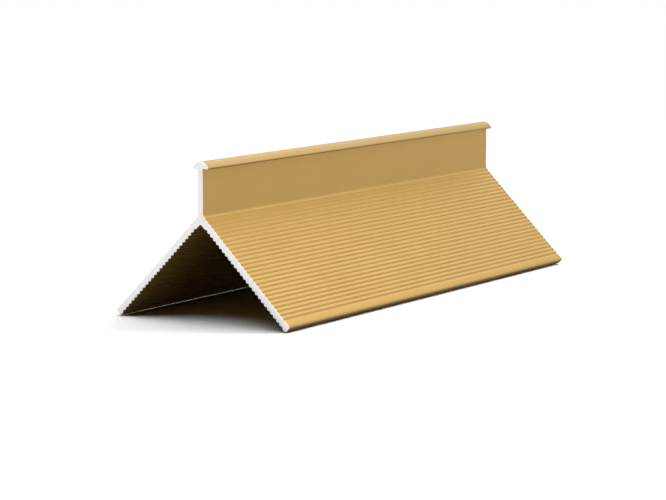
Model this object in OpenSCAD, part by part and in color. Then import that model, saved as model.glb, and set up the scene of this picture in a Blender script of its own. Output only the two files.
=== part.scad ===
// Tile corner trim: a short piece of one extruded aluminium profile.
// Two ribbed wings bed in the adhesive behind the tiles of an outside corner, a plain
// stem stands in the joint between the tile edges, and a small cap covers those edges.
// The profile runs along X, and the piece stands on the tips of its wings at Z = 0.

/* [Piece] */
// Length of the cut piece, along the profile
piece_len = 100; // [20:1:300]
// Angle between the two wings
corner_angle = 90; // [80:1:100]

/* [Wings] */
// Width of a wing, from the face of the stem to the end of the tip
wing_w = 25; // [18:0.5:40]
// Thickness of a wing, between the mean lines of its two ribbed faces
wing_t = 1.2; // [1:0.05:2]
// Radius on the outer corner of a wing's tip
tip_outer_r = 0.35; // [0.2:0.05:0.6]
// Radius on the inner corner of a wing's tip, which the piece stands on
tip_inner_r = 0.3; // [0.1:0.05:0.4]
// Radius in the corner between a wing and the stem
fork_r = 1; // [0.3:0.05:1.1]
// Radius inside the V, where the two wings meet
apex_r = 0.4; // [0.1:0.05:0.8]

/* [Ribs] */
// Distance from one groove to the next
rib_pitch = 0.865; // [0.7:0.005:1.2]
// Depth of the grooves on the outer faces, from crest to bottom
outer_depth = 0.12; // [0.1:0.01:0.25]
// Depth of the grooves on the inner faces, from crest to bottom
inner_depth = 0.25; // [0.1:0.01:0.3]
// Distance from the face of the stem to the first outer groove
outer_start = 0.85; // [0.8:0.05:3]
// Least distance from the last outer groove to the end of the tip
outer_end = 1.6; // [1.2:0.05:4]
// Distance from the bottom of the V to the first inner groove
inner_start = 1.65; // [1.5:0.05:4]
// Least distance from the last inner groove to the end of the tip
inner_end = 1; // [1:0.05:4]

/* [Stem] */
// Thickness of the stem
stem_t = 1.05; // [0.8:0.05:1.2]
// Height of the seat for a tile's edge, from the fork to the underside of the cap
seat_h = 8.05; // [5:0.05:15]

/* [Cap] */
// Width of the cap, over its two lips
cap_w = 3.3; // [3.1:0.1:6]
// Height of the cap, from its underside to the top of the crown
cap_h = 1.35; // [1.2:0.05:2]
// Radius of the crown
crown_r = 1.6; // [1.3:0.05:1.75]
// Radius of a rounded lip
lip_r = 0.22; // [0.15:0.01:0.25]
// Radius of the groove under the cap, beside the stem
undercut_r = 0.32; // [0.2:0.01:0.34]
// Depth of that groove above the underside of the cap
undercut_depth = 0.08; // [0.05:0.01:0.18]

/* [Hidden] */
$fn = 64;

// Each wing leans away from the upright stem by half the corner angle
lean = corner_angle / 2;
// How far a crest rises over the mean line. The plain strips lie level with the crests
outer_crest = outer_depth / 2;
inner_crest = inner_depth / 2;

// Where a wing's inner face crosses the middle plane: along the wing and as a height
apex_along = ((wing_t + inner_crest) * cos(lean) - stem_t / 2) / sin(lean);
apex_z = -apex_along * cos(lean) - (wing_t + inner_crest) * sin(lean);
// Where a wing's outer face crosses the face of the stem
fork_z = outer_crest / sin(lean);
// How far each wing runs on past the middle plane, so that the two fuse
overlap = stem_t / 4;
// How far a wing's stock runs on at its root and its tip, before both are cut
spare = stem_t + wing_t;
// How far every arc runs past its radius, so that it crosses what it meets and never only
// touches it
seam = 0.0005;
// Height of the fork above the line that the tips stand on
fork_lift = (wing_w - tip_inner_r) * cos(lean) + (wing_t + inner_crest - tip_inner_r) * sin(lean)
          + tip_inner_r + seam;

inner_first = apex_along + inner_start;
outer_count = floor((wing_w - outer_start - outer_end) / rib_pitch) + 1;
inner_count = floor((wing_w - inner_first - inner_end) / rib_pitch) + 1;

// Centres of the crown's arc and of the right lip's arc
crown_z = seat_h + cap_h - crown_r;
lip_x = cap_w / 2 - lip_r;
lip_z = seat_h + lip_r;
// Direction in which the flank between those two arcs faces
flank_angle = atan2(lip_z - crown_z, lip_x) + acos((crown_r - lip_r) / norm([lip_x, lip_z - crown_z]));
flank_dir = [cos(flank_angle), sin(flank_angle)];
// Ends of that flank, where it meets the arcs without a kink
flank_top = [0, crown_z] + crown_r * flank_dir;
flank_foot = [lip_x, lip_z] + lip_r * flank_dir;

// Radius of the arcs of a ribbed face. Crests and grooves are equal arcs that meet on the
// mean line, each half a pitch wide there
function rib_r(depth) = (pow(rib_pitch / 4, 2) + pow(depth / 2, 2)) / depth;

// The disc of a round corner or rib
module disc(r) {
    circle(r + seam);
}

// The sliver between a corner at the origin and the arc that rounds it. Its sides run
// along +X and at the given angle, and it reaches past both of them, by half the stem at
// most: added it fills an inner corner, and taken away it blunts an outer one
module corner_sliver(r, angle) {
    reach = r / tan(angle / 2);
    past = min(r, stem_t / 2);
    along = [cos(angle), sin(angle)];
    across = [-sin(angle), cos(angle)];
    difference() {
        polygon([[-reach, -past], [reach, -past], [reach, r], reach * along + past * across]);
        translate([reach, r]) disc(r);
    }
}

// What a ribbed face adds above its mean line: rounded crests, and the plain strips at
// both ends of the wing
module rib_crests(first, count, depth) {
    crest = depth / 2;
    r = rib_r(depth);
    intersection() {
        for (k = [0 : count])
            translate([first + (k - 0.5) * rib_pitch, crest - r]) disc(r);
        translate([0, -wing_t / 2]) square([wing_w, wing_t]);
    }
    last = first + (count - 0.5) * rib_pitch;
    translate([-spare, -wing_t / 2]) square([spare + first - rib_pitch / 2, wing_t / 2 + crest]);
    translate([last, -wing_t / 2]) square([wing_w + spare - last, wing_t / 2 + crest]);
}

// What a ribbed face loses below its mean line: the rounded grooves
module rib_grooves(first, count, depth) {
    r = rib_r(depth);
    for (k = [0 : count - 1])
        translate([first + k * rib_pitch, r - depth / 2]) disc(r);
}

// Puts a face's ribs on the inner face of the wing, which looks down
module on_inner_face() {
    translate([0, -wing_t]) mirror([0, 1]) children();
}

// Section of one wing, lying along +X from the face of the stem, outer face up
module wing_section() {
    difference() {
        union() {
            translate([-spare, -wing_t]) square([wing_w + 2 * spare, wing_t]);
            rib_crests(outer_start, outer_count, outer_depth);
            on_inner_face() rib_crests(inner_first, inner_count, inner_depth);
        }
        rib_grooves(outer_start, outer_count, outer_depth);
        on_inner_face() rib_grooves(inner_first, inner_count, inner_depth);
        translate([wing_w, -2 * wing_t]) square([2 * spare, 3 * wing_t]);
        translate([wing_w, outer_crest]) rotate(180) corner_sliver(tip_outer_r, 90);
        translate([wing_w, -wing_t - inner_crest]) rotate(90) corner_sliver(tip_inner_r, 90);
    }
}

// One wing leaning down to the right of the stem, with its fillet against the stem
module leaning_wing() {
    intersection() {
        translate([stem_t / 2, 0]) rotate(lean - 90) wing_section();
        translate([-overlap, -2 * wing_w]) square([2 * wing_w, 3 * wing_w]);
    }
    translate([stem_t / 2, fork_z]) rotate(lean - 90) corner_sliver(fork_r, 180 - lean);
}

// Right half of the cap's outline, from the middle out to the lip
module cap_half() {
    polygon([[0, seat_h], [lip_x, seat_h], [lip_x, lip_z], flank_foot, flank_top, [0, flank_top.y]]);
    translate([lip_x, lip_z]) disc(lip_r);
    translate([0, seat_h + undercut_depth - undercut_r])
        square([stem_t / 2 + undercut_r, undercut_r]);
}

// Section of the cap: a crown that falls in straight flanks to two rounded lips, with a
// small groove beside the stem on either side of the underside
module cap_section() {
    difference() {
        union() {
            cap_half();
            mirror([1, 0]) cap_half();
            intersection() {
                translate([0, crown_z]) disc(crown_r);
                translate([-lip_x, lip_z]) square([2 * lip_x, cap_h]);
            }
        }
        for (side = [-1, 1])
            translate([side * (stem_t / 2 + undercut_r), seat_h + undercut_depth - undercut_r])
                disc(undercut_r);
    }
}

// The whole section, with the fork at the origin
module trim_section() {
    leaning_wing();
    mirror([1, 0]) leaning_wing();
    translate([0, apex_z]) rotate(-90 - lean) corner_sliver(apex_r, corner_angle);
    translate([-stem_t / 2, apex_z / 2]) square([stem_t, seat_h + undercut_depth - apex_z / 2]);
    cap_section();
}

// The cut piece, one extrusion along X
module corner_trim() {
    color([0.85, 0.69, 0.44])
        translate([-piece_len / 2, 0, fork_lift])
            rotate([90, 0, 90])
                linear_extrude(piece_len)
                    trim_section();
}

corner_trim();
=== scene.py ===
import math

import bpy
from mathutils import Matrix, Vector


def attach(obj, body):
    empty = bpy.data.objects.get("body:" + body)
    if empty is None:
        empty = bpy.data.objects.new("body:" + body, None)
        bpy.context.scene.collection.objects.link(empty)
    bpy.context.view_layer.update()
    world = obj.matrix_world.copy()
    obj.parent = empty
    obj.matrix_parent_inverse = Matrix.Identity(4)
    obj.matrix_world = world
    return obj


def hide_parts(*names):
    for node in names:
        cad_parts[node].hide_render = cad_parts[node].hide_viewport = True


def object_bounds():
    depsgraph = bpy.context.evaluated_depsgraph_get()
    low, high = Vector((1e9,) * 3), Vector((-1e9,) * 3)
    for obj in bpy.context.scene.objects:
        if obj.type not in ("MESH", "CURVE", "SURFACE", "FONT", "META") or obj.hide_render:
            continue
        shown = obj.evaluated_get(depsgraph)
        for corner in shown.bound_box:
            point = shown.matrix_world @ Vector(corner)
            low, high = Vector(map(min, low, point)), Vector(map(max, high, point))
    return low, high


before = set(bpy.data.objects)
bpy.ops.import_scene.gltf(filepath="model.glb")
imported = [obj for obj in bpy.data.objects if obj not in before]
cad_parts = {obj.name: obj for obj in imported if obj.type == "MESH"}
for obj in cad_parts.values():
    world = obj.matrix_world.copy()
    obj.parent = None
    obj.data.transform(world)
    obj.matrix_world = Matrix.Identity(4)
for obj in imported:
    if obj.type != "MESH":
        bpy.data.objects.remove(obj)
cad_low, cad_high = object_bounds()
mm = 0.001

# Trim profile
# One aluminium extrusion, pressed through a die and sawn square into short lengths: two
# ribbed wings at a right angle, a plain stem in the joint and a small rounded cap.
corner_angle = math.radians(90)
wing_w = 25 * mm
wing_t = 1.2 * mm
tip_outer_r = 0.35 * mm
tip_inner_r = 0.3 * mm
fork_r = 1 * mm
apex_r = 0.4 * mm
rib_pitch = 0.865 * mm
outer_depth = 0.12 * mm
inner_depth = 0.25 * mm
outer_start = 0.85 * mm
outer_end = 1.6 * mm
inner_start = 1.65 * mm
inner_end = 1 * mm
stem_t = 1.05 * mm
seat_h = 8.05 * mm
cap_w = 3.3 * mm
cap_h = 1.35 * mm
crown_r = 1.6 * mm
lip_r = 0.22 * mm
undercut_r = 0.32 * mm
undercut_depth = 0.08 * mm

# The saw leaves a fine rounded edge on both ends, in so many rings of faces
edge_round = 0.07 * mm
edge_rings = 3
# Points on one pitch of the ribs, and on a right angle of a rounded corner
rib_points = 20
corner_points = 10
# Stretches that each face is cut into between the two ends
stretches = 10

# A wing's own axes: down along it, and out of its outer face
lean = corner_angle / 2
down = Vector((math.sin(lean), -math.cos(lean)))
out = Vector((math.cos(lean), math.sin(lean)))
outer_crest = outer_depth / 2
inner_crest = inner_depth / 2
fork_lift = (wing_w - tip_inner_r) * math.cos(lean)
fork_lift += (wing_t + inner_crest - tip_inner_r) * math.sin(lean) + tip_inner_r
root = Vector((stem_t / 2, fork_lift))


def on_wing(along, height):
    """A point of the section, from how far down the wing and how far out of its mean line."""
    return root + along * down + height * out


def arc(centre, radius, start, end):
    """Points on an arc of the section, with both of its ends."""
    steps = max(2, math.ceil(abs(end - start) / (math.pi / 2) * corner_points))
    angles = [start + (end - start) * k / steps for k in range(steps + 1)]
    return [centre + radius * Vector((math.cos(a), math.sin(a))) for a in angles]


def rounded(corner, came_from, goes_to, radius):
    """The arc that rounds a corner, from the line that comes in to the line that goes out."""
    back = (came_from - corner).normalized()
    ahead = (goes_to - corner).normalized()
    half = back.angle(ahead) / 2
    centre = corner + (back + ahead).normalized() * radius / math.sin(half)
    first = corner + back * radius / math.tan(half) - centre
    last = corner + ahead * radius / math.tan(half) - centre
    start = math.atan2(first.y, first.x)
    turn = first.angle_signed(last)
    return arc(centre, radius, start, start - turn)


def rib_height(along, depth):
    """Height of a ribbed face over its mean line, at a distance from a groove's middle."""
    radius = ((rib_pitch / 4) ** 2 + (depth / 2) ** 2) / depth
    from_groove = abs(along - rib_pitch * round(along / rib_pitch))
    if from_groove < rib_pitch / 4:
        return radius - depth / 2 - math.sqrt(radius**2 - from_groove**2)
    return depth / 2 - radius + math.sqrt(radius**2 - (rib_pitch / 2 - from_groove) ** 2)


def ribs(first, last_margin, depth):
    """Distance along the wing and height of each point of a ribbed stretch, stem to tip."""
    grooves = math.floor((wing_w - first - last_margin) / rib_pitch) + 1
    steps = [k / rib_points - 0.5 for k in range(grooves * rib_points + 1)]
    return [(first + k * rib_pitch, rib_height(k * rib_pitch, depth)) for k in steps]


# Inner face of the wing, from the middle of the V out to the tip
inner_level = -wing_t - inner_crest
apex_along = -(stem_t / 2 + inner_level * out.x) / down.x
apex = on_wing(apex_along, inner_level)
outline = arc(apex - Vector((0, apex_r / math.sin(lean))), apex_r, math.pi / 2, lean)
for along, height in ribs(apex_along + inner_start, inner_end, inner_depth):
    outline.append(on_wing(along, -wing_t - height))

# Round the tip and back up the outer face to the stem
heel = on_wing(wing_w, inner_level)
toe = on_wing(wing_w, outer_crest)
outline += rounded(heel, on_wing(0, inner_level), toe, tip_inner_r)
outline += rounded(toe, heel, on_wing(0, outer_crest), tip_outer_r)
for along, height in reversed(ribs(outer_start, outer_end, outer_depth)):
    outline.append(on_wing(along, height))
seat_z = fork_lift + seat_h
fork = Vector((stem_t / 2, fork_lift + outer_crest / out.y))
outline += rounded(fork, toe, fork + Vector((0, seat_h)), fork_r)

# Up the stem, round the groove under the cap, and over the lip, the flank and the crown
groove = Vector((stem_t / 2 + undercut_r, seat_z + undercut_depth - undercut_r))
groove_end = math.asin((undercut_r - undercut_depth) / undercut_r)
outline += arc(groove, undercut_r, math.pi, groove_end)
lip = Vector((cap_w / 2 - lip_r, seat_z + lip_r))
crown = Vector((0, seat_z + cap_h - crown_r))
flank = math.atan2(lip.y - crown.y, lip.x) + math.acos((crown_r - lip_r) / (lip - crown).length)
outline += arc(lip, lip_r, -math.pi / 2, flank)
outline += arc(crown, crown_r, flank, math.pi / 2)

# The other half mirrors it, without the two points on the middle plane
outline += [Vector((-p.x, p.y)) for p in reversed(outline[1:-1])]
count = len(outline)


def drawn_in(by):
    """The outline moved inwards, square to its own sides."""
    moved = []
    for k, point in enumerate(outline):
        side_in = (point - outline[k - 1]).normalized()
        side_out = (outline[(k + 1) % count] - point).normalized()
        inward = Vector((-side_in.y, side_in.x)) + Vector((-side_out.y, side_out.x))
        moved.append(point + by * 2 * inward / inward.length_squared)
    return moved


# Rings of points from the near end to the far end, each with its x and its inset
half_len = (cad_high.x - cad_low.x) / 2
end_turns = [math.pi / 2 * k / edge_rings for k in range(edge_rings + 1)]
near_rings = [(-half_len + edge_round * (1 - math.cos(a)), edge_round * (1 - math.sin(a)))
              for a in end_turns]
straight = half_len - edge_round
# One more ring, just past the rounded edge, keeps the shading of the long faces flat
near_rings.append((-straight + edge_round, 0))
middle_rings = [(straight * (2 * k / stretches - 1), 0) for k in range(1, stretches)]
far_rings = [(-x, inset) for x, inset in reversed(near_rings)]
rings = near_rings + middle_rings + far_rings
corners = [(x, p.x, p.y) for x, inset in rings for p in drawn_in(inset)]

faces = []
for ring in range(len(rings) - 1):
    for k in range(count):
        near, following = ring * count + k, ring * count + (k + 1) % count
        faces.append((near, following, following + count, near + count))
faces.append(tuple(reversed(range(count))))
faces.append(tuple(range(len(corners) - count, len(corners))))

trim_mesh = bpy.data.meshes.new("trim_profile")
trim_mesh.from_pydata(corners, [], faces)
trim_mesh.update()
trim = bpy.data.objects.new("trim_profile", trim_mesh)
bpy.context.scene.collection.objects.link(trim)


class Wire:
    """A socket of a material, so that shader maths reads as plain sums and products."""

    def __init__(self, tree, socket=None):
        self.tree = tree
        self.socket = socket

    def add(self, kind, settings=None, sockets=None, output=0):
        """Adds a node, sets what it is, then its sockets, and gives one of its outputs."""
        made = self.tree.nodes.new("ShaderNode" + kind)
        for name, value in (settings or {}).items():
            setattr(made, name, value)
        for name, value in (sockets or {}).items():
            if isinstance(value, Wire):
                self.tree.links.new(value.socket, made.inputs[name])
            else:
                made.inputs[name].default_value = value
        return Wire(self.tree, made.outputs[output] if made.outputs else None)

    def maths(self, operation, first, second):
        return self.add("Math", {"operation": operation}, {0: first, 1: second})

    def __add__(self, other):
        return self.maths("ADD", self, other)

    __radd__ = __add__

    def __sub__(self, other):
        return self.maths("SUBTRACT", self, other)

    def __rsub__(self, other):
        return self.maths("SUBTRACT", other, self)

    def __mul__(self, other):
        return self.maths("MULTIPLY", self, other)

    __rmul__ = __mul__

    def __gt__(self, other):
        return self.maths("GREATER_THAN", self, other)


def finish_named(name):
    """A new material with an empty tree, and a wire to build it from."""
    material = bpy.data.materials.new(name)
    material.use_nodes = True
    material.node_tree.nodes.clear()
    return material, Wire(material.node_tree)


def mixed(wires, factor, first, second):
    """A colour between two colours."""
    return wires.add("Mix", {"data_type": "RGBA"}, {0: factor, 6: first, 7: second}, 2)


# Gold anodising
# The bare profile is etched to a satin, anodised and dyed champagne gold, so the skin is
# clear oxide on metal: fine lines from the die run along it, and the dye varies a little.
gold_deep = (0.493, 0.306, 0.089, 1)
gold_pale = (0.575, 0.374, 0.12, 1)
gold_roughness = 0.48
roughness_spread = 0.1
die_line_width = 0.5 * mm
die_line_length = 25 * mm
die_line_depth = 0.004 * mm
grain_size = 0.06 * mm
grain_depth = 0.002 * mm
cloud_size = 9 * mm


def anodised(name, deep, pale, roughness, line_depth):
    """Satin dyed oxide on metal, with grain and the lines that the die left along it."""
    material, m = finish_named(name)
    place = m.add("TexCoord", output="Object")
    stretch = (1 / die_line_length, 1 / die_line_width, 1 / die_line_width)
    lengthwise = m.add("VectorMath", {"operation": "MULTIPLY"}, {0: place, 1: stretch})
    die_lines = m.add("TexNoise", sockets={"Vector": lengthwise, "Scale": 1, "Detail": 4})
    grain = m.add("TexNoise", sockets={"Vector": place, "Scale": 1 / grain_size, "Detail": 2})
    clouds = m.add("TexNoise", sockets={"Vector": place, "Scale": 1 / cloud_size, "Detail": 3})
    dye = 0.5 * clouds + 0.5 * die_lines
    lines_felt = m.add("Bump", sockets={
        "Strength": 1, "Distance": line_depth, "Height": die_lines})
    grain_felt = m.add("Bump", sockets={
        "Strength": 1, "Distance": grain_depth, "Height": grain, "Normal": lines_felt})
    skin = m.add("BsdfPrincipled", sockets={
        "Base Color": mixed(m, dye, deep, pale), "Metallic": 1,
        "Roughness": roughness + roughness_spread * (die_lines - 0.5),
        "Normal": grain_felt})
    m.add("OutputMaterial", sockets={"Surface": skin})
    return material


gold = anodised("gold_anodised", gold_deep, gold_pale, gold_roughness, die_line_depth)

# Inside of the V
# The wall and its adhesive hide these faces. They are rougher, with faint die lines, and
# their gold is darker as painted shade, for the shade that falls inside the V.
inner_painted_shade_deep = (0.3, 0.187, 0.047, 1)
inner_painted_shade_pale = (0.352, 0.23, 0.064, 1)
inner_roughness = 0.65
inner_line_depth = 0.001 * mm

inner_painted_shade = anodised("inner_anodised_painted_shade", inner_painted_shade_deep, inner_painted_shade_pale, inner_roughness, inner_line_depth)

# Cap
# Only the cap shows once the tiles are laid. Its gold is a little duller and less red
# than the wings', with the same roughness and die lines.
cap_deep = (0.425, 0.28, 0.106, 1)
cap_pale = (0.485, 0.341, 0.141, 1)
cap_roughness = 0.48

cap_gold = anodised("cap_anodised", cap_deep, cap_pale, cap_roughness, die_line_depth)

# Painted shade under the cap and at the wing tips
# The faces under the lips of the cap and at the ends of the wings are a little rougher,
# and their gold is darkened as painted shade, for the shadow that falls there.
underside_painted_shade_deep = (0.215, 0.128, 0.036, 1)
underside_painted_shade_pale = (0.25, 0.157, 0.048, 1)
dull_roughness = 0.55

underside_painted_shade = anodised("underside_anodised_painted_shade", underside_painted_shade_deep, underside_painted_shade_pale, dull_roughness, die_line_depth)

# Sawn ends
# The lengths are cut after anodising, so both ends are bare aluminium, with the fine
# curved marks of a circular saw and a thin bright edge where the burr was taken off.
bare_dull = (0.875, 0.86, 0.85, 1)
bare_bright = (0.965, 0.945, 0.935, 1)
bare_roughness = 0.42
saw_centre = (0, -90 * mm, 120 * mm)
saw_mark_width = 0.11 * mm
saw_mark_depth = 0.004 * mm

bare, b = finish_named("bare_aluminium")
place = b.add("TexCoord", output="Object")
from_centre = b.add("VectorMath", {"operation": "DISTANCE"}, {0: place, 1: saw_centre}, "Value")
marks = b.add("TexNoise", {"noise_dimensions": "1D"}, {
    "W": from_centre * (1 / saw_mark_width), "Scale": 1, "Detail": 2})
marks_felt = b.add("Bump", sockets={
    "Strength": 1, "Distance": saw_mark_depth, "Height": marks})
metal = b.add("BsdfPrincipled", sockets={
    "Base Color": mixed(b, marks, bare_dull, bare_bright), "Metallic": 1,
    "Roughness": bare_roughness, "Normal": marks_felt})
b.add("OutputMaterial", sockets={"Surface": metal})

# Each face of the trim takes the finish of its place, and the undersides and the inside of
# the V take painted shade. An underside is a face whose normal points down by at least this
# much, and edges that turn by more than crisp_turn stay crisp
underside = -0.3
crisp_turn = math.radians(40)

finishes = (gold, inner_painted_shade, cap_gold, underside_painted_shade, bare)
for finish in finishes:
    trim_mesh.materials.append(finish)
for face in trim_mesh.polygons:
    from_root = Vector((abs(face.center.y), face.center.z)) - root
    on_tip = from_root.dot(down) > wing_w - tip_inner_r
    under_cap = face.center.z > fork_lift
    if abs(face.center.x) > straight:
        finish = bare
    # Undersides at the wing tips and under the cap's lips take painted shade
    elif face.normal.z < underside and (on_tip or under_cap):
        finish = underside_painted_shade
    # The inner faces of the wings take a darker gold as painted shade
    elif from_root.dot(out) < -wing_t / 2:
        finish = inner_painted_shade
    elif face.center.z > seat_z:
        finish = cap_gold
    else:
        finish = gold
    face.material_index = finishes.index(finish)
    face.use_smooth = len(face.vertices) == 4
trim_mesh.set_sharp_from_angle(angle=crisp_turn)
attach(trim, "root")
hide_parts("corner_trim")

# Studio floor
# A plain white sweep, which the camera and the metal see paler than it lights the object, so
# that it ends in white and keeps the shadow. A cut length never lies quite flat, so light
# creeps in under the wing behind.
floor_half = 4
floor_gap = 0.16 * mm
floor_white = 0.55
floor_in_metal = 1.0
floor_on_camera = 1.42
sweep_start = 0.12
sweep_end = 0.45

floor_mesh = bpy.data.meshes.new("floor")
floor_mesh.from_pydata([(-floor_half, -floor_half, -floor_gap), (floor_half, -floor_half, -floor_gap),
                        (floor_half, floor_half, -floor_gap), (-floor_half, floor_half, -floor_gap)],
                       [], [(0, 1, 2, 3)])
floor = bpy.data.objects.new("floor", floor_mesh)
bpy.context.scene.collection.objects.link(floor)
paint, f = finish_named("floor_white")


def seen(wires):
    """1 for rays that see a background, from the camera, in metal or through glass.

    Light that the floor has scattered before it reaches the metal isn't such a ray.
    """
    from_camera = wires.add("LightPath", output="Is Camera Ray")
    in_metal = wires.add("LightPath", output="Is Glossy Ray")
    through_glass = wires.add("LightPath", output="Is Transmission Ray")
    scattered = wires.add("LightPath", output="Diffuse Depth")
    return (from_camera + in_metal + through_glass - scattered) > 0.5


background = seen(f)
on_camera = f.add("LightPath", output="Is Camera Ray")
white_now = floor_white + (floor_in_metal - floor_white) * background
white_now = white_now + (floor_on_camera - floor_in_metal) * on_camera
white_colour = f.add("CombineColor", sockets={"Red": white_now, "Green": white_now, "Blue": white_now})
matt = f.add("BsdfDiffuse", sockets={"Color": white_colour})
from_middle = f.add("VectorMath", {"operation": "LENGTH"}, {
    0: f.add("TexCoord", output="Object")}, "Value")
far_off = f.add("MapRange", {"interpolation_type": "SMOOTHSTEP"}, {
    "Value": from_middle, "From Min": sweep_start, "From Max": sweep_end})
pure_white = f.add("Emission", sockets={"Strength": 1})
f.add("OutputMaterial", sockets={"Surface": f.add("MixShader", sockets={
    "Fac": far_off * background, 1: matt, 2: pure_white})})
floor_mesh.materials.append(paint)

# Studio light
# A broad lamp overhead and a lower one beyond the far end give the shadows. The metal shows
# a wide box of light over it instead, in an even pale room that casts no light of its own.
room_in_metal = 0.8
room_on_camera = 1.0
overhead_from = Vector((0, 0.08, 1))
overhead_angle = math.radians(75)
overhead_light = 0.63
low_from = Vector((1.355, -0.603, 1))
low_angle = math.radians(42)
low_light = 0.62
box_low = Vector((-0.45, -0.6))
box_high = Vector((0.85, 0.8))
box_height = 0.6
box_radiance = 1.47

world = bpy.data.worlds.new("white_room")
bpy.context.scene.world = world
world.use_nodes = True
world.node_tree.nodes.clear()
w = Wire(world.node_tree)
on_camera = w.add("LightPath", output="Is Camera Ray")
room = room_in_metal * seen(w) + (room_on_camera - room_in_metal) * on_camera
w.add("OutputWorld", sockets={"Surface": w.add("Background", sockets={
    "Color": (1, 1, 1, 1), "Strength": room})})


def soft_lamp(name, came_from, angle, light):
    """A round lamp far off, so broad that its shadows are soft. The metal doesn't show it."""
    lamp = bpy.data.lights.new(name, "SUN")
    lamp.angle = angle
    lamp.energy = light * math.pi
    stand = bpy.data.objects.new(name, lamp)
    stand.rotation_euler = came_from.to_track_quat("Z", "Y").to_euler()
    stand.visible_glossy = False
    bpy.context.scene.collection.objects.link(stand)


soft_lamp("overhead_lamp", overhead_from, overhead_angle, overhead_light)
soft_lamp("low_lamp", low_from, low_angle, low_light)

panel = bpy.data.lights.new("box", "AREA")
box_size = box_high - box_low
panel.shape = "RECTANGLE"
panel.size = box_size.x
panel.size_y = box_size.y
panel.energy = box_radiance * math.pi * box_size.x * box_size.y
box = bpy.data.objects.new("box", panel)
box.location = (*(box_low + box_high) / 2, box_height)
box.visible_diffuse = False
bpy.context.scene.collection.objects.link(box)

# Camera
# A long lens stands low in front of the near end and looks along the trim, as in the
# photograph, so that its edges run nearly parallel.
lens = 132.7
view_yaw = math.radians(32.36)
view_pitch = math.radians(7.608)
camera_place = Vector((-388.965, -241.586, 68.218)) * mm

ahead = Vector((math.cos(view_pitch) * math.cos(view_yaw),
                math.cos(view_pitch) * math.sin(view_yaw), -math.sin(view_pitch)))
right = Vector((math.sin(view_yaw), -math.cos(view_yaw), 0))
above = right.cross(ahead)
camera_data = bpy.data.cameras.new("camera")
camera_data.lens = lens
camera_data.clip_start = 0.01
camera = bpy.data.objects.new("camera", camera_data)
turned = Matrix((right, above, -ahead)).transposed().to_4x4()
camera.matrix_world = Matrix.Translation(camera_place) @ turned
bpy.context.scene.collection.objects.link(camera)
bpy.context.scene.camera = camera
bpy.context.scene.view_settings.view_transform = "Standard"
